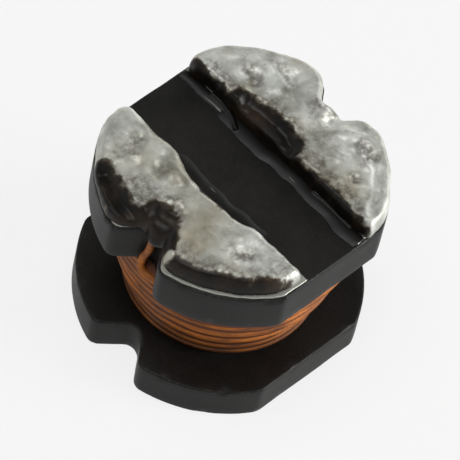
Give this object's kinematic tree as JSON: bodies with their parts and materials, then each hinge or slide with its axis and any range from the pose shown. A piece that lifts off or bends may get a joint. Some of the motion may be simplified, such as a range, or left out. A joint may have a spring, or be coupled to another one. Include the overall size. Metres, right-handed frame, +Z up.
{
  "type": "smd drum core inductor",
  "caption": "Unshielded surface-mount power inductor: notched and flatted ferrite drum core, stepped enamelled copper winding, soldered pads on its terminal flange.",
  "frame": {"origin": "centre of the plain flange's outer face, which the part stands on", "axes": "+Z up along the drum's post to the terminal flange; X runs through the wire notches, with +X towards the pad at the start of the wire; Y runs along the bare strip, across the two flats"},
  "size_m": [0.0056, 0.0052, 0.0045],
  "materials": {
    "ferrite": "pressed, sintered and tumbled nickel-zinc ferrite, dark grey and matte",
    "enamelled_copper": "copper wire under clear amber enamel, glossy",
    "fired_silver": "thin fired silver layer, tinned, satin",
    "solder": "dull grained solder with brown flux left along its edges"
  },
  "bodies": {
    "root": {"drum_core": "ferrite", "winding": "enamelled_copper", "start_electrode": "fired_silver", "finish_electrode": "fired_silver", "start_solder": "solder", "finish_solder": "solder"}
  },
  "joints": []
}
